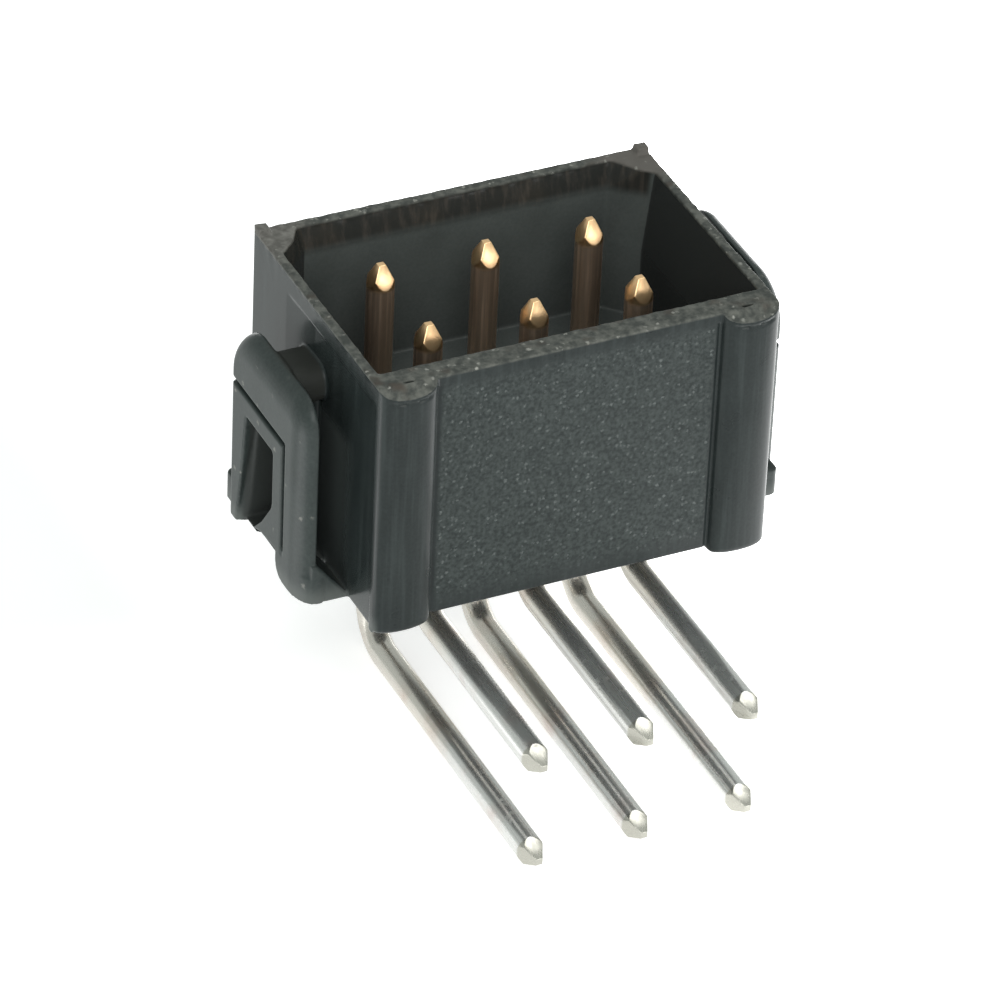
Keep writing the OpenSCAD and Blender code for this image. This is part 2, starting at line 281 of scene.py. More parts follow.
def ear_cuts(heel=0.35, steps=8):
    """Window, framing groove, raised skirt and rounded heel of a latch ear."""
    through = EAR_OUT + SPARE
    groove_x = EAR_OUT - GROOVE_DEEP
    skirt = [(LEG_BACK - heel, FOOT_Z - SPARE), (WINDOW_Y1, FOOT_Z - SPARE), (WINDOW_Y1, SKIRT_Z - 0.36),
             (WINDOW_Y0 + 0.5, SKIRT_Z - 0.08), (LEG_BACK, SKIRT_Z)]
    for k in range(steps + 1):
        turn = math.pi / 2 * k / steps
        skirt.append((LEG_BACK - heel * (1 - math.cos(turn)), FOOT_Z + heel * (1 - math.sin(turn))))
    inner, outer = window_edge(0.75 * WINDOW_FLARE), window_edge(1.25 * WINDOW_FLARE)
    return [
        loft([inner, outer], "x", [EAR_OUT - WINDOW_DEEP, EAR_OUT + WINDOW_DEEP]),
        bar(skirt, "x", EAR_IN, through),
        bar(square(RIDGE_Y - GROOVE, RIDGE_Z, EAR_BACK + SPARE, RIDGE_Z + GROOVE), "x", groove_x, through),
        bar(square(RIDGE_Y - GROOVE, FOOT_TOP, RIDGE_Y, RIDGE_Z + GROOVE), "x", groove_x, through),
    ]


def ear_pocket():
    """Pocket behind the window, as deep as the end wall."""
    front, back, top, bottom = WINDOW_Y0 + 0.2, WINDOW_Y1 - 0.04, WINDOW_TOP - 0.04, FOOT_Z + 0.1
    outline = rounded([(front, top, 0.05), (front, SKIRT_Z + 0.5, 0.1), (front + 0.4, bottom, 0.1),
                       (back + 0.3, bottom, 0.05), (back, top, 0.05)])
    return bar(outline, "x", POCKET_X, EAR_OUT - WINDOW_DEEP + 0.02)


def toe_plan(out, steps=8):
    """Plan of the toe under the ear's leg, which stands out from the leg by so much."""
    front, side = EAR_FRONT - out, EAR_OUT - 0.02
    plan = [(EAR_IN - 0.1, LEG_BACK), (EAR_IN - 0.1, front)]
    for k in range(steps + 1):
        turn = math.pi / 2 * k / steps
        plan.append((side - EAR_BULLNOSE * (1 - math.sin(turn)), front + EAR_ROLL * (1 - math.cos(turn))))
    return [*plan, (side, LEG_BACK)]


def fore_foot():
    """Foot under the ear's leg: a flared toe, and a gusset that slopes down to the end wall."""
    plans = [toe_plan(0.08), toe_plan(0.07), toe_plan(-0.04)]
    toe = loft(plans, "z", [FOOT_Z, FOOT_TOP - 0.06, FOOT_TOP + 0.1])
    soften(toe, lambda a, b: max(a.z, b.z) < FOOT_Z + HAIR and min(a.y, b.y) > LEG_BACK - HAIR, 0.3)
    heel, top = FOOT_Z + 0.09, FOOT_Z + 0.78
    slope = [(WALL_X, FOOT_Z), (EAR_IN + 0.1, FOOT_Z), (EAR_IN + 0.1, top), (EAR_IN, top),
             (HALF_W - RECESS, heel), (WALL_X, heel)]
    return [toe, bar(slope, "y", EAR_FRONT - 0.06, LEG_BACK - 0.2)]


def knob():
    """Rounded lump at the head of the web."""
    outline = square(KNOB_FRONT, EAR_TOP - 0.03 - KNOB_H, WEB_BACK, EAR_TOP - 0.03, 0.34)
    return bar(outline, "x", WALL_X, EAR_IN + 0.1)


def ear_roots():
    """Web, feet and back wall that carry a latch ear on the end wall."""
    jamb = WINDOW_Y1 + WINDOW_FLARE
    tab = rounded([(WALL_X, jamb + 0.12, 0), (EAR_OUT - 0.15, jamb + 0.12, 0),
                   (EAR_OUT - 0.15, EAR_BACK + 0.48, 0.12), (WALL_X, EAR_BACK + 0.48, 0)])
    sole = [(WALL_X, FOOT_Z), (EAR_IN, FOOT_Z), (EAR_OUT - 0.12, FOOT_Z + 0.1), (WALL_X, FOOT_Z + 0.1)]
    return [
        knob(),
        bar(square(WEB_FRONT, FOOT_Z, WEB_BACK, EAR_TOP - KNOB_H / 2), "x", WALL_X, EAR_IN + 0.05),
        *fore_foot(),
        bar(tab, "z", FOOT_Z, FOOT_TOP),
        bar(sole, "y", WINDOW_Y0 + 0.95, jamb + 0.1),
        bar(square(WALL_X, LEG_BACK - 0.1, EAR_IN, WEB_FRONT + 0.1), "z", FOOT_Z, FOOT_Z + 0.14),
        bar(square(EAR_IN - 0.06, LEG_BACK - 0.1, EAR_IN, WEB_FRONT + 0.1), "z", FOOT_Z, SKIRT_Z + 0.05),
        bar(square(WEB_FRONT, FOOT_Z, jamb + 0.15, WINDOW_TOP + 0.2), "x", WALL_X, EAR_IN),
    ]


def end_recess():
    """Shallow recess in the outside of the +X end wall, which runs out towards the back."""
    low, high = FOOT_Z - SPARE, RIM_Z - RIM_BAND
    bottom = square(RECESS_FRONT, low, RECESS_BACK, high)
    brim = square(RECESS_FRONT, low, RECESS_BACK + RECESS_RUN, high)
    return loft([bottom, brim], "x", [HALF_W - RECESS, HALF_W + RECESS])


def cavity_edge(back_grow=0, end_grow=0):
    """Outline of the cavity with its two keying corners, grown by so much along the back and the ends."""
    key_x, key_y = CAVITY_X - KEY_X + back_grow, CAVITY_BACK - KEY_Y + back_grow
    end, back = CAVITY_X + end_grow, CAVITY_BACK + back_grow
    return rounded([(-end, CAVITY_FRONT, 0), (end, CAVITY_FRONT, 0), (end, key_y, KEY_R),
                    (key_x, back, KEY_R), (-key_x, back, KEY_R), (-end, key_y, KEY_R)])


def mouth(height, **grown):
    """Lead-in of the cavity: its outline, grown by so much where it reaches the rim from a height below."""
    wide = {name: grow * (1 + SPARE / height) for name, grow in grown.items()}
    return loft([cavity_edge(), cavity_edge(**wide)], "z", [RIM_Z - height, RIM_Z + SPARE])


def pip():
    """Small nub that rises out of the +X back corner of the rim."""
    base = square(HALF_W - 0.26, BACK_Y - 0.24, HALF_W, BACK_Y)
    crown = square(HALF_W - 0.22, BACK_Y - 0.22, HALF_W, BACK_Y)
    return loft([base, crown], "z", [RIM_Z - 0.05, RIM_Z + 0.1])


def shroud():
    """Keyed shroud with its posts, ears, cavity and contact holes."""
    foot = HALF_W - POST_W + 0.15
    section = [(-HALF_W, FOOT_Z), (-foot, FOOT_Z), (-foot, UNDER_Z), (foot, UNDER_Z), (foot, FOOT_Z),
               (HALF_W, FOOT_Z), (HALF_W, RIM_Z), (-HALF_W, RIM_Z)]
    body = piece_of("housing_moulding", bar(section, "y", PANEL_Y, BACK_Y))
    combine(body, "DIFFERENCE", both_ends(post_crease))
    combine(body, "UNION", both_ends(post))
    combine(body, "DIFFERENCE", [*both_ends(post_slope), *both_ends(post_lip), *both_ends(post_slit)])
    combine(body, "DIFFERENCE", both_ends(end_recess))
    for matrix, ear_top in EAR_PLACES:
        ear = piece_of("ear", ear_plate(ear_top))
        combine(ear, "DIFFERENCE", ear_cuts())
        combine(ear, "UNION", ear_roots())
        combine(ear, "DIFFERENCE", [ear_pocket()])
        mesh = bmesh.new()
        mesh.from_mesh(ear.data)
        bpy.data.objects.remove(ear)
        combine(body, "UNION", [flip(mesh, matrix)])
    holes = [bar(disc(x, y, HOLE_R), "z", FOOT_Z - SPARE, FLOOR_Z + SPARE)
             for x in (-PITCH, 0, PITCH) for y in (MID_Y - PITCH / 2, MID_Y + PITCH / 2)]
    room = [bar(cavity_edge(), "z", FLOOR_Z, RIM_Z + SPARE), mouth(LEAD_H, back_grow=BACK_LEAD),
            mouth(END_LEAD_H, end_grow=END_LEAD)]
    combine(body, "DIFFERENCE", [*room, *holes])
    combine(body, "UNION", both_ends(pip))
    return body


def relax_skin(piece, grain, passes):
    """Give the piece one even skin and ease its edges and corners."""
    skin = piece.modifiers.new("skin", "REMESH")
    skin.mode = "VOXEL"
    skin.voxel_size = grain
    ease = piece.modifiers.new("ease", "SMOOTH")
    ease.factor = 0.5
    ease.iterations = passes
    settle(piece)


def fray_rim(piece, swing, grain, seed):
    """Leave the rim's edges a little uneven, as the mould's parting line does."""
    noise.seed_set(seed)
    for corner in piece.data.vertices:
        rise = min(max((corner.co.z - RIM_Z) / 0.12 + 1, 0), 1)
        if rise > 0:
            corner.co += swing * rise * noise.noise_vector(corner.co / grain)
            corner.co.y = min(corner.co.y, BACK_Y)
            corner.co.z = min(corner.co.z, RIM_Z + PIP_H)


def thin_out(piece, most):
    """Thin out the flats until the piece has at most so many triangles."""
    thin = piece.modifiers.new("thin", "DECIMATE")
    thin.ratio = min(1, most / sum(len(face.vertices) - 2 for face in piece.data.polygons))
    settle(piece)


def smooth(piece):
    """Shade the piece smooth, with its flats kept flat, and bring it from millimetres to metres."""
    piece.data.transform(Matrix.Scale(MM, 4))
    piece.data.materials.clear()
    piece.data.shade_smooth()
    piece.modifiers.new("flats", "WEIGHTED_NORMAL")
    settle(piece)


housing = shroud()
relax_skin(housing, grain=0.026, passes=3)
fray_rim(housing, swing=0.012, grain=0.16, seed=7)
thin_out(housing, most=170000)
smooth(housing)


def add(tree, kind, inputs=None, **settings):
    """Shader node with its settings, its input values and the links into it."""
    made = tree.nodes.new(kind)
    for name, value in settings.items():
        setattr(made, name, value)
    for name, value in (inputs or {}).items():
        if isinstance(value, bpy.types.NodeSocket):
            tree.links.new(value, made.inputs[name])
        else:
            made.inputs[name].default_value = value
    return made


def sums(tree, operation, *terms):
    """One step of arithmetic on numbers and sockets."""
    return add(tree, "ShaderNodeMath", dict(enumerate(terms)), operation=operation).outputs[0]


def overlap(tree, *masks):
    """Product of several masks."""
    product = masks[0]
    for mask in masks[1:]:
        product = sums(tree, "MULTIPLY", product, mask)
    return product


def ramp(tree, value, off, on):
    """Mask that goes smoothly from 0, where the value is at off, to 1, where it is at on."""
    inputs = {"Value": value, "From Min": off, "From Max": on}
    return add(tree, "ShaderNodeMapRange", inputs, interpolation_type="SMOOTHSTEP").outputs["Result"]


def blend(tree, mask, under, over):
    """Colour that goes from under to over with a mask."""
    return add(tree, "ShaderNodeMix", {0: mask, 6: under, 7: over}, data_type="RGBA").outputs[2]


def level(tree, mask, under, over):
    """Number that goes from under to over with a mask."""
    return add(tree, "ShaderNodeMix", {0: mask, 2: under, 3: over}, data_type="FLOAT").outputs[0]


def stretched(tree, place, factors):
    """Coordinates stretched along the axes."""
    return add(tree, "ShaderNodeVectorMath", {0: place, 1: factors}, operation="MULTIPLY").outputs[0]


def cloudy(tree, place, scale, detail=2.0):
    """Soft noise between 0 and 1, with so many swells to the millimetre."""
    inputs = {"Vector": place, "Scale": scale, "Detail": detail}
    return add(tree, "ShaderNodeTexNoise", inputs).outputs[0]


def new_finish(name):
    """New material, with its tree, shader and coordinates in millimetres."""
    made = bpy.data.materials.new(name)
    made.use_nodes = True
    tree = made.node_tree
    spot = add(tree, "ShaderNodeTexCoord").outputs["Object"]
    place = add(tree, "ShaderNodeVectorMath", {0: spot, "Scale": 1 / MM}, operation="SCALE").outputs[0]
    return made, tree, tree.nodes["Principled BSDF"], place


def new_group(name, inputs, outputs):
    """Empty shader node group with named sockets, and its two ends."""
    group = bpy.data.node_groups.new(name, "ShaderNodeTree")
    for socket, kind in inputs.items():
        group.interface.new_socket(socket, in_out="INPUT", socket_type=kind)
    for socket in outputs:
        group.interface.new_socket(socket, in_out="OUTPUT", socket_type="NodeSocketFloat")
    return group, group.nodes.new("NodeGroupInput"), group.nodes.new("NodeGroupOutput")


def fleck_group():
    """Scattered round specks: glints on a spark-eroded mould, painted as highlights, or the spots of
    scuffed plating.
    """
    sockets = {"Place": "NodeSocketVector", "Spacing": "NodeSocketFloat", "Share": "NodeSocketFloat"}
    group, start, end = new_group("flecks", sockets, ["Mask"])
    place, spacing = start.outputs["Place"], start.outputs["Spacing"]
    scale = sums(group, "DIVIDE", 1.0, spacing)
    finer = sums(group, "MULTIPLY", scale, 2.0)
    ragged = add(group, "ShaderNodeTexNoise", {"Vector": place, "Scale": finer}).outputs["Color"]
    shift = add(group, "ShaderNodeVectorMath", {0: ragged, "Scale": spacing}, operation="SCALE").outputs[0]
    moved = add(group, "ShaderNodeVectorMath", {0: place, 1: shift}, operation="ADD").outputs[0]
    cells = add(group, "ShaderNodeTexVoronoi", {"Vector": moved, "Scale": scale})
    spot = ramp(group, cells.outputs["Distance"], 0.6, 0.1)
    chance = add(group, "ShaderNodeSeparateColor", {0: cells.outputs["Color"]}).outputs[0]
    least = sums(group, "SUBTRACT", 1.0, start.outputs["Share"])
    kept = ramp(group, chance, least, 1.0)
    group.links.new(overlap(group, spot, kept), end.inputs["Mask"])
    return group


def streak_group():
    """Fine uneven lines: the drag marks of a mould, or the die lines of drawn wire."""
    sockets = {"Place": "NodeSocketVector", "Share": "NodeSocketFloat"}
    group, start, end = new_group("streaks", sockets, ["Mask"])
    lines = cloudy(group, start.outputs["Place"], 1.0, 4.0)
    low = sums(group, "SUBTRACT", 0.72, start.outputs["Share"])
    group.links.new(ramp(group, lines, low, 0.8), end.inputs["Mask"])
    return group


flecks = fleck_group()
streaks = streak_group()


def specks(tree, place, spacing, share):
    """Flecks in a material's own spacing."""
    inputs = {"Place": place, "Spacing": spacing, "Share": share}
    return add(tree, "ShaderNodeGroup", inputs, node_tree=flecks).outputs["Mask"]


def lines_along(tree, place, factors, share):
    """Streaks along the axis with the smallest factor."""
    inputs = {"Place": stretched(tree, place, factors), "Share": share}
    return add(tree, "ShaderNodeGroup", inputs, node_tree=streaks).outputs["Mask"]


def zones(tree, place):
    """Masks of the shroud's zones, by place and by the way that the surface faces."""
    axes = add(tree, "ShaderNodeSeparateXYZ", {0: place}).outputs
    normal = add(tree, "ShaderNodeNewGeometry").outputs["Normal"]
    facing = add(tree, "ShaderNodeSeparateXYZ", {0: normal}).outputs
    across, deep, high = sums(tree, "ABSOLUTE", axes["X"]), axes["Y"], axes["Z"]
    endwise = sums(tree, "ABSOLUTE", facing["X"])
    inner = HALF_W - POST_W - CREASE
    key_y = CAVITY_BACK - KEY_Y
    mouth_z = RIM_Z - LEAD_H
    corner = ramp(tree, deep, 4.2, 4.9)
    post_top = overlap(tree, ramp(tree, deep, 0.3, 0.22), ramp(tree, facing["Z"], 0.35, 0.55),
                       ramp(tree, high, RIM_Z - 0.32, RIM_Z - 0.26))
    room = overlap(tree, ramp(tree, across, CAVITY_X + 0.22, CAVITY_X + 0.18),
                   ramp(tree, deep, CAVITY_FRONT - 0.06, CAVITY_FRONT - 0.02),
                   ramp(tree, deep, BACK_Y - 0.05, BACK_Y - 0.1),
                   ramp(tree, high, FLOOR_Z - 0.1, FLOOR_Z - 0.05))
    return {
        "panel": overlap(tree, ramp(tree, across, inner + 0.02, inner - 0.06), ramp(tree, deep, 0.34, 0.27),
                         ramp(tree, high, RIM_Z - 0.12, RIM_Z - 0.42),
                         ramp(tree, high, UNDER_Z, UNDER_Z + 0.6)),
        "rim": sums(tree, "MAXIMUM", post_top, ramp(tree, high, RIM_Z - 0.07, RIM_Z - 0.02)),
        # Painted sheen on the back corners of the rim, strongest at the left.
        "sheen_left_corner": overlap(tree, ramp(tree, axes["X"], -2.6, -3.2), corner),
        "sheen_right_corner": overlap(tree, ramp(tree, axes["X"], 2.5, 3.0), corner),
        "room": room,
        "band": overlap(tree, room, ramp(tree, deep, key_y, key_y + 0.1),
                        ramp(tree, high, mouth_z - 0.12, mouth_z + 0.12)),
        # Painted shade: the inside faces that look along the rows.
        "turned": sums(tree, "MAXIMUM", ramp(tree, facing["X"], -0.82, -0.92),
                       ramp(tree, facing["X"], 0.4, 0.6)),
        "wall": overlap(tree, ramp(tree, across, CAVITY_X + 0.22, CAVITY_X + 0.25),
                        ramp(tree, across, HALF_W + 0.06, HALF_W + 0.02), ramp(tree, endwise, 0.8, 0.95)),
        "back": ramp(tree, deep, BACK_Y - 0.1, BACK_Y - 0.03),
    }


def ear_zones(tree, place):
    """Masks of the ears and what is near them, with the +X ear read as the -X ear turned half round."""
    axes = add(tree, "ShaderNodeSeparateXYZ", {0: place}).outputs
    across, high = sums(tree, "ABSOLUTE", axes["X"]), axes["Z"]
    turned = sums(tree, "SUBTRACT", 2 * MID_Y + EAR_SKEW, axes["Y"])
    deep = level(tree, ramp(tree, axes["X"], -0.1, 0.1), axes["Y"], turned)
    knob_low = EAR_TOP - KNOB_H
    return {
        "ear": ramp(tree, across, HALF_W + 0.05, HALF_W + 0.12),
        # Painted light: a paler patch on the end wall, low in the gap behind the ear's leg.
        "gap_painted_light": overlap(tree, ramp(tree, deep, 1.1, 2.0), ramp(tree, deep, MID_Y + 0.3, MID_Y),
                        ramp(tree, high, EAR_TOP - 0.7, EAR_TOP - 1.1)),
        "knob": overlap(tree, ramp(tree, across, HALF_W - 0.03, HALF_W + 0.01),
                        ramp(tree, across, EAR_IN + 0.1, EAR_IN),
                        ramp(tree, deep, KNOB_FRONT - 0.1, KNOB_FRONT - 0.05),
                        ramp(tree, deep, WEB_BACK + 0.1, WEB_BACK),
                        ramp(tree, high, EAR_TOP + 0.2, EAR_TOP + 0.1),
                        ramp(tree, high, knob_low - 0.15, knob_low - 0.05)),
        "hollow": overlap(tree, ramp(tree, across, EAR_OUT - 0.06, EAR_OUT - 0.16),
                          ramp(tree, across, HALF_W - 0.02, HALF_W + 0.04),
                          ramp(tree, high, WINDOW_TOP + 0.08, WINDOW_TOP),
                          ramp(tree, deep, WINDOW_Y0 - 0.02, WINDOW_Y0 + 0.02),
                          ramp(tree, deep, WINDOW_Y1 + 0.6, WINDOW_Y1 + 0.5)),
        # Painted light: the ears' feet are painted paler near the floor, for the light thrown up from it.
        "feet_painted_light": overlap(tree, ramp(tree, high, FOOT_Z + 0.45, FOOT_Z + 0.05),
                        ramp(tree, across, HALF_W - 0.1, HALF_W)),
    }


def textures(tree, place):
    """Noises, flecks and lines that the housing's tones and relief are mixed from."""
    mottle, grain = cloudy(tree, place, 1.3, 4.0), cloudy(tree, place, 17.0, 2.0)
    return {
        "mottle": mottle,
        "grain": grain,
        "wear": sums(tree, "ADD", overlap(tree, mottle, 0.5), overlap(tree, grain, 0.5)),
        "erosion": ramp(tree, cloudy(tree, place, 15.0, 3.0), 0.25, 0.75),
        "patches": ramp(tree, cloudy(tree, place, 7.0, 4.0), 0.3, 0.75),
        "stains": ramp(tree, cloudy(tree, place, 2.0), 0.55, 0.75),
        "glints": specks(tree, place, 0.075, 0.3),
        "scuffs": specks(tree, place, 0.08, 0.14),
        "chips": specks(tree, place, 0.12, 0.03),
        "drag": lines_along(tree, place, (9.0, 9.0, 0.4), 0.3),
    }


def outer_tone(tree, zone, texture):
    """Smooth outside: drag marks of the mould, duller ears with a few chips, a paler patch painted as light
    low in the gap behind each ear's leg, and painted light from the floor on the ears' feet.
    """
    drag = overlap(tree, texture["drag"], level(tree, zone["back"], 0.4, 0.15))
    tone = blend(tree, texture["wear"], (0.006, 0.0086, 0.0086, 1), (0.026, 0.033, 0.0325, 1))
    tone = blend(tree, drag, tone, (0.045, 0.055, 0.054, 1))
    # Painted light: the end wall is painted paler low in the gap behind the ear.
    tone = blend(tree, overlap(tree, zone["wall"], zone["gap_painted_light"]), tone, (0.055, 0.064, 0.062, 1))
    ear = blend(tree, texture["wear"], (0.01, 0.0145, 0.014, 1), (0.05, 0.061, 0.058, 1))
    ear = blend(tree, texture["chips"], ear, (0.16, 0.16, 0.145, 1))
    tone = blend(tree, zone["ear"], tone, ear)
    tone = blend(tree, zone["knob"], tone, (0.024, 0.026, 0.023, 1))
    # Painted light from the floor on the ears' feet.
    tone = blend(tree, zone["feet_painted_light"], tone, (0.077, 0.086, 0.081, 1))
    return blend(tree, zone["hollow"], tone, (0.032, 0.036, 0.034, 1))


def panel_tone(tree, texture):
    """Spark-eroded front panel, with glints painted on its grain as highlights."""
    tone = blend(tree, texture["erosion"], (0.016, 0.021, 0.0205, 1), (0.042, 0.0505, 0.0485, 1))
    # Painted highlights: the glints are pale specks in the base colour.
    return blend(tree, texture["glints"], tone, (0.095, 0.107, 0.104, 1))


def room_tone_with_painted_light(tree, zone, texture):
    """Inside of the shroud, painted paler than the outside as painted light in the cavity, and painted
    darker on the faces that look along the rows as painted shade.
    """
    # Painted light: the inside is painted much paler than the outside.
    tone = blend(tree, texture["wear"], (0.047, 0.054, 0.052, 1), (0.088, 0.097, 0.092, 1))
    # Painted shade on the faces that look along the rows.
    return blend(tree, zone["turned"], tone, (0.026, 0.028, 0.027, 1))


def rim_tone(tree, zone, texture):
    """Scuffed rim: patchy, stained brown in places and flecked, painted paler at its back corners as a
    painted sheen, strongest at the left.
    """
    patches = texture["patches"]
    pale = blend(tree, patches, (0.08, 0.077, 0.069, 1), (0.16, 0.156, 0.142, 1))
    tone = blend(tree, patches, (0.038, 0.042, 0.038, 1), (0.108, 0.111, 0.098, 1))
    tone = blend(tree, texture["stains"], tone, (0.05, 0.042, 0.034, 1))
    # Painted sheen: the left back corner paler, the right back corner a flat, weaker tone.
    tone = blend(tree, zone["sheen_left_corner"], tone, pale)
    tone = blend(tree, zone["sheen_right_corner"], tone, (0.095, 0.088, 0.079, 1))
    flecked = sums(tree, "MAXIMUM", texture["scuffs"], texture["chips"])
    return blend(tree, flecked, tone, (0.26, 0.26, 0.235, 1))


def housing_gloss(tree, zone, texture):
    """Roughness: glossy on the outside and inside, dull where the mould is eroded or the part is worn."""
    matt = level(tree, texture["mottle"], 0.22, 0.38)
    matt = level(tree, zone["wall"], matt, 0.22)
    matt = level(tree, zone["ear"], matt, 0.34)
    matt = level(tree, sums(tree, "MAXIMUM", zone["knob"], zone["hollow"]), matt, 0.55)
    matt = level(tree, zone["panel"], matt, 0.55)
    matt = level(tree, zone["room"], matt, 0.24)
    return level(tree, zone["rim"], matt, 0.48)


def housing_relief(tree, place, zone, texture):
    """Height of the fine relief: flat end walls, an eroded panel and a lumpy rim."""
    swells, grain = overlap(tree, cloudy(tree, place, 6.0), 0.25), overlap(tree, texture["grain"], 0.2)
    relief = level(tree, zone["wall"], sums(tree, "ADD", swells, grain), 0.0)
    eroded = overlap(tree, sums(tree, "ADD", texture["erosion"], texture["glints"]), 0.33)
    relief = level(tree, zone["panel"], relief, eroded)
    return level(tree, zone["rim"], relief, cloudy(tree, place, 9.0, 3.0))


def moulded_black():
    """Black plastic: eroded on the front panel, smoother elsewhere, scuffed along the rim."""
    made, tree, shader, place = new_finish("moulded_black")
    zone = {**zones(tree, place), **ear_zones(tree, place)}
    texture = textures(tree, place)
    stained = blend(tree, texture["drag"], (0.02, 0.021, 0.019, 1), (0.046, 0.041, 0.035, 1))
    tone = blend(tree, zone["panel"], outer_tone(tree, zone, texture), panel_tone(tree, texture))
    tone = blend(tree, zone["room"], tone, room_tone_with_painted_light(tree, zone, texture))
    tone = blend(tree, zone["band"], tone, stained)
    tone = blend(tree, zone["rim"], tone, rim_tone(tree, zone, texture))
    matt = housing_gloss(tree, zone, texture)
    relief = housing_relief(tree, place, zone, texture)
    bump = add(tree, "ShaderNodeBump", {"Height": relief, "Distance": 0.004 * MM, "Strength": 1.0})
    shader.inputs["Specular IOR Level"].default_value = 0.19
    for socket, value in {"Base Color": tone, "Roughness": matt, "Normal": bump.outputs[0]}.items():
        tree.links.new(value, shader.inputs[socket])
    return made


housing.data.materials.append(moulded_black())
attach(housing, "root")
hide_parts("housing")

# Contacts: six half-millimetre copper-alloy wires, pressed through the floor of the shroud and bent once.
# Both ends are coined to a four-sided point. The mating ends are plated with gold and the tails with tin.
PIN_R, POINT_L, POINT_FLAT, BEND_R = 0.25, 0.42, 0.13, 0.75
TIP_Z = RIM_Z - 0.22
TAIL_END = -3.15
PLATING_Z = 3.2
ROWS = {"front": (MID_Y - PITCH / 2, PITCH / 2), "back": (MID_Y + PITCH / 2, -PITCH / 2)}
COLUMNS = {"left": -PITCH, "middle": 0, "right": PITCH}


def wire(row_y, tail_z, sides=48, bend_steps=24):
    """Round wire down through the floor, round its bend and out along the tail."""
    spots = [(row_y, TIP_Z, 0.0), (row_y, PLATING_Z, 0.0)]
    for k in range(bend_steps + 1):
        turn = math.pi / 2 * k / bend_steps
        y, z = row_y - BEND_R + BEND_R * math.cos(turn), tail_z + BEND_R - BEND_R * math.sin(turn)
        spots.append((y, z, turn))
    spots.append((TAIL_END, tail_z, math.pi / 2))
    mesh = bmesh.new()
    rings = []
    for y, z, turn in spots:
        ring = []
        for k in range(sides):
            angle = 2 * math.pi * k / sides
            out = PIN_R * math.sin(angle)
            ring.append(mesh.verts.new((PIN_R * math.cos(angle), y + out * math.cos(turn),
                                        z - out * math.sin(turn))))
        rings.append(ring)
    for above, below in zip(rings, rings[1:]):
        for k in range(sides):
            j = (k + 1) % sides
            mesh.faces.new((above[k], above[j], below[j], below[k]))
    mesh.faces.new(rings[0])
    mesh.faces.new(rings[-1])
    bmesh.ops.recalc_face_normals(mesh, faces=mesh.faces)
    return mesh


def coining(tip, outward):
    """Waste around one coined point: four wedges that leave a small flat at the tip."""
    slope = math.atan((PIN_R - POINT_FLAT / 2) / POINT_L)
    upright = Vector((0, 0, 1)).rotation_difference(Vector(outward)).to_matrix().to_4x4()
    wedges = []
    for quarter in range(4):
        wedge = bar(square(0, -1, 1, 1), "z", -SPARE, POINT_L + 2 * SPARE)
        turn = (Matrix.Translation(Vector(tip)) @ upright @ Matrix.Rotation(quarter * math.pi / 2, 4, "Z")
                @ Matrix.Translation((PIN_R, 0, -POINT_L)) @ Matrix.Rotation(-slope, 4, "Y"))
        bmesh.ops.transform(wedge, matrix=turn, verts=wedge.verts)
        wedges.append(wedge)
    return wedges


def round_edges(piece, radius, steps, sharper_than):
    """Weld coplanar facets, then give every sharp edge the small round of a coined part."""
    mesh = bmesh.new()
    mesh.from_mesh(piece.data)
    bmesh.ops.remove_doubles(mesh, verts=mesh.verts, dist=0.0005)
    bmesh.ops.dissolve_limit(mesh, angle_limit=math.radians(0.4), verts=mesh.verts, edges=mesh.edges)
    mesh.to_mesh(piece.data)
    mesh.free()
    edge = piece.modifiers.new("edge", "BEVEL")
    edge.width = radius
    edge.segments = steps
    edge.limit_method = "ANGLE"
    edge.angle_limit = math.radians(sharper_than)
    edge.use_clamp_overlap = False
    settle(piece)


def split_level(piece, high):
    """Cut the piece's faces along one level, so that each side can take its own plating."""
    mesh = bmesh.new()
    mesh.from_mesh(piece.data)
    everything = [*mesh.verts, *mesh.edges, *mesh.faces]
    bmesh.ops.bisect_plane(mesh, geom=everything, plane_co=(0, 0, high), plane_no=(0, 0, 1))
    mesh.to_mesh(piece.data)
    mesh.free()


def gold_plating():
    """Gold plating with drawn lines below the point, painted darker and browner there as painted shade
    inside the shroud, and bright where the point is coined.
    """
    made, tree, shader, place = new_finish("gold_plating")
    high = add(tree, "ShaderNodeSeparateXYZ", {0: place}).outputs["Z"]
    point = ramp(tree, high, TIP_Z - POINT_L - 0.06, TIP_Z - POINT_L + 0.04)
    drawn = lines_along(tree, place, (16.0, 16.0, 0.5), 0.3)
    # Painted shade: below the point the gold is darker and browner.
    shaded_shaft = blend(tree, drawn, (0.52, 0.385, 0.285, 1), (0.76, 0.56, 0.41, 1))
    tip = blend(tree, cloudy(tree, place, 7.0, 3.0), (0.96, 0.58, 0.3, 1), (0.98, 0.7, 0.4, 1))
    matt = level(tree, drawn, 0.34, 0.44)
    matt = level(tree, point, matt, 0.3)
    dents = cloudy(tree, place, 9.0)
    bump = add(tree, "ShaderNodeBump", {"Height": dents, "Distance": 0.0015 * MM, "Strength": 1.0})
    for socket, value in {"Base Color": blend(tree, point, shaded_shaft, tip), "Roughness": matt,
                          "Metallic": level(tree, point, 0.92, 1.0), "Normal": bump.outputs[0]}.items():
        tree.links.new(value, shader.inputs[socket])
    return made


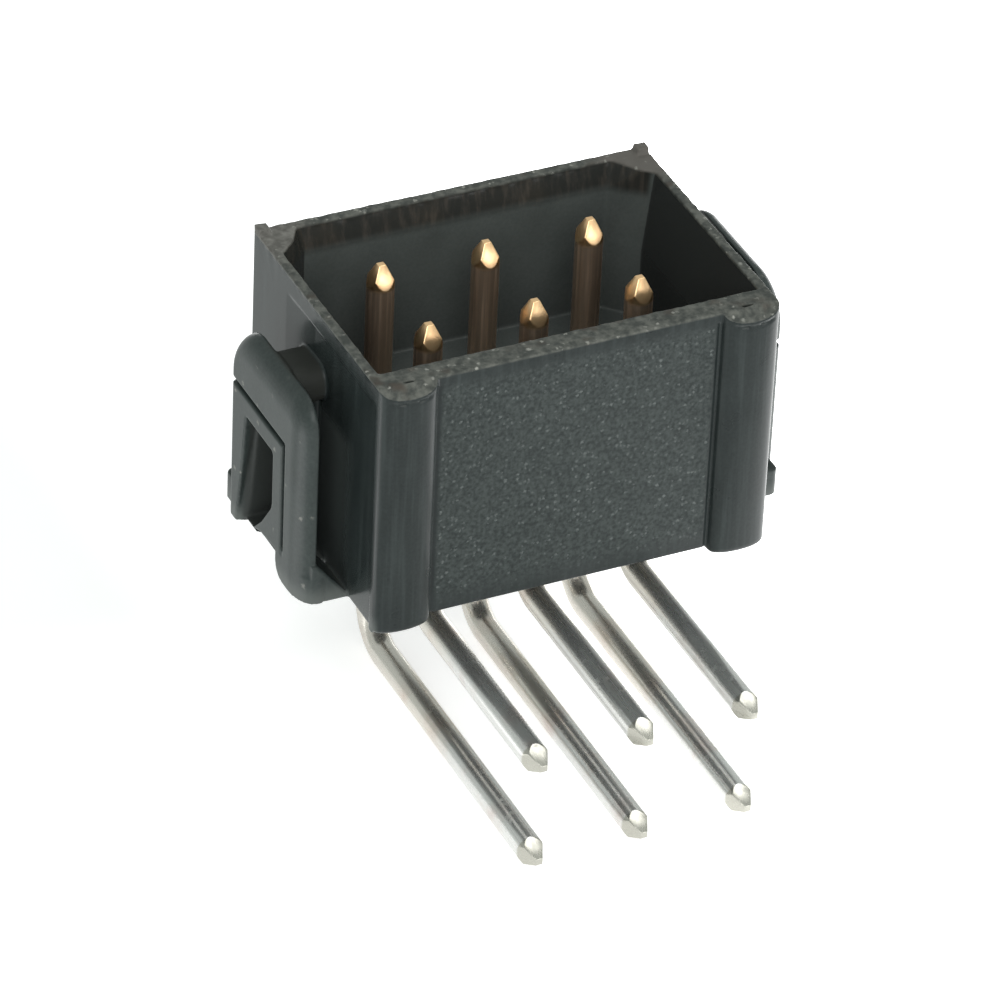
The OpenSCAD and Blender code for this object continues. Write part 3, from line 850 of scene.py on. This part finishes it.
def bright_tin():
    """Reflowed tin on drawn wire: soft silver, with faint die lines, a few warm stains and a warm tint
    painted towards the bends as a highlight.
    """
    made, tree, shader, place = new_finish("bright_tin")
    drawn = lines_along(tree, place, (14.0, 0.5, 14.0), 0.3)
    stain = ramp(tree, cloudy(tree, place, 1.1, 3.0), 0.5, 0.75)
    pits = specks(tree, place, 0.12, 0.2)
    tone = blend(tree, drawn, (0.69, 0.69, 0.67, 1), (0.61, 0.61, 0.59, 1))
    tone = blend(tree, stain, tone, (0.6, 0.54, 0.51, 1))
    along = add(tree, "ShaderNodeSeparateXYZ", {0: place}).outputs["Y"]
    bend = ramp(tree, along, -0.2, 1.0)
    # Painted highlight: a warm tint towards the bends.
    tone = blend(tree, overlap(tree, bend, 0.3), tone, (0.66, 0.56, 0.42, 1))
    end = ramp(tree, along, TAIL_END + POINT_L, TAIL_END + POINT_L - 0.05)
    tone = blend(tree, end, tone, (0.46, 0.45, 0.4, 1))
    matt = level(tree, drawn, 0.26, 0.34)
    matt = level(tree, pits, matt, 0.4)
    relief = sums(tree, "ADD", overlap(tree, drawn, 0.5), cloudy(tree, place, 12.0))
    bump = add(tree, "ShaderNodeBump", {"Height": relief, "Distance": 0.0003 * MM, "Strength": 1.0})
    shader.inputs["Metallic"].default_value = 0.93
    for socket, value in {"Base Color": tone, "Roughness": matt, "Normal": bump.outputs[0]}.items():
        tree.links.new(value, shader.inputs[socket])
    return made


gold = gold_plating()
tin = bright_tin()
for row, (row_y, tail_z) in ROWS.items():
    pattern = piece_of(f"contact_{row}", wire(row_y, tail_z))
    combine(pattern, "DIFFERENCE", coining((0, row_y, TIP_Z), (0, 0, 1)))
    combine(pattern, "DIFFERENCE", coining((0, TAIL_END, tail_z), (0, -1, 0)))
    round_edges(pattern, radius=0.012, steps=2, sharper_than=14)
    split_level(pattern, PLATING_Z)
    smooth(pattern)
    pattern.data.materials.append(gold)
    pattern.data.materials.append(tin)
    for face in pattern.data.polygons:
        face.material_index = 0 if face.center.z > PLATING_Z * MM else 1
    for column, x in COLUMNS.items():
        contact = bpy.data.objects.new(f"contact_{row}_{column}", pattern.data.copy())
        contact.data.transform(Matrix.Translation((x * MM, 0, 0)))
        bpy.context.scene.collection.objects.link(contact)
        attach(contact, "root")
        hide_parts(f"pin_{row}_{column}")
    bpy.data.objects.remove(pattern)

# Floor and light: a plain white table top whose own glow is painted light: dimmer behind on the left,
# raised near the part so that its shadow is washed out, and brightest in a patch on its left and one at its
# front right.
# The studio around it is white. A broad softbox hangs over the front, a low card at the right of the front
# lights the points, and a card overhead lights the coined ends of the tails.
REST_Z = cad_low[2]
bpy.ops.mesh.primitive_plane_add(size=4, location=(0, 0, REST_Z))
floor = bpy.context.object
floor.name = "table_top"
paper, tree, shader, place = new_finish("white_paper")
shader.inputs["Base Color"].default_value = (0.9, 0.9, 0.9, 1)
shader.inputs["Roughness"].default_value = 0.9


def grey(amount):
    """Colour with one amount of red, green and blue."""
    return (amount, amount, amount, 1)


spots = add(tree, "ShaderNodeSeparateXYZ", {0: place}).outputs
away = add(tree, "ShaderNodeVectorMath", {0: place}, operation="LENGTH").outputs["Value"]
behind = overlap(tree, ramp(tree, spots["X"], -3.0, -6.0), ramp(tree, spots["Y"], 4.0, 7.0))
# Painted light: the table top glows, most near the part and in patches on its left and front right.
painted_floor_glow = blend(tree, behind, grey(0.36), grey(0.1))
painted_floor_glow = blend(tree, ramp(tree, away, 7.0, 3.0), painted_floor_glow, grey(0.5))
left = overlap(tree, ramp(tree, spots["X"], -7.0, -11.0), ramp(tree, spots["Y"], 7.0, 4.5),
               ramp(tree, spots["Y"], -2.0, 1.0))
painted_floor_glow = blend(tree, left, painted_floor_glow, grey(2.5))
right = overlap(tree, ramp(tree, spots["X"], -1.0, 10.0), ramp(tree, spots["Y"], -7.5, -4.0))
painted_floor_glow = blend(tree, right, painted_floor_glow, grey(2.8))
tree.links.new(painted_floor_glow, shader.inputs["Emission Color"])
shader.inputs["Emission Strength"].default_value = 1
floor.data.materials.append(paper)


def softbox(name, spot, aim, width, power):
    """Square area light at a spot, turned towards another."""
    lamp = bpy.data.lights.new(name, "AREA")
    lamp.size = width
    lamp.energy = power
    made = bpy.data.objects.new(name, lamp)
    made.location = spot
    made.rotation_euler = (Vector(aim) - Vector(spot)).to_track_quat("-Z", "Y").to_euler()
    bpy.context.scene.collection.objects.link(made)


MIDDLE = Vector((0, MID_Y, RIM_Z)) * MM
softbox("key", (-0.1, -0.24, 0.22), MIDDLE, width=0.22, power=0.62)
softbox("low_card", (0.11, -0.275, 0.06), MIDDLE, width=0.1, power=0.14)
softbox("top_card", (0.11, 0.024, 0.28), MIDDLE, width=0.12, power=0.14)
world = bpy.data.worlds.new("studio")
world.use_nodes = True
world.node_tree.nodes["Background"].inputs["Color"].default_value = (0.94, 1, 0.97, 1)
world.node_tree.nodes["Background"].inputs["Strength"].default_value = 0.62
bpy.context.scene.world = world
bpy.context.scene.view_settings.view_transform = "Standard"

# Camera: above and to the left of the front, at the photograph's angle.
# A long lens from far away keeps upright edges almost parallel.
VIEW_TURN, VIEW_TILT, VIEW_ROLL = 26.46, 34.89, 2.74
AIM = Vector((0.14, 3.32, 1.81)) * MM
DISTANCE = 119.3 * MM
lens = bpy.data.cameras.new("camera")
lens.lens = 242.4
lens.sensor_width = 36
lens.clip_start = 10 * MM
camera = bpy.data.objects.new("camera", lens)
bpy.context.scene.collection.objects.link(camera)
turn = Matrix.Rotation(math.radians(-VIEW_TURN), 4, "Z")
tilt = Matrix.Rotation(math.radians(90 - VIEW_TILT), 4, "X")
roll = Matrix.Rotation(math.radians(VIEW_ROLL), 4, "Z")
camera.matrix_world = Matrix.Translation(AIM) @ turn @ tilt @ roll @ Matrix.Translation((0, 0, DISTANCE))
bpy.context.scene.camera = camera
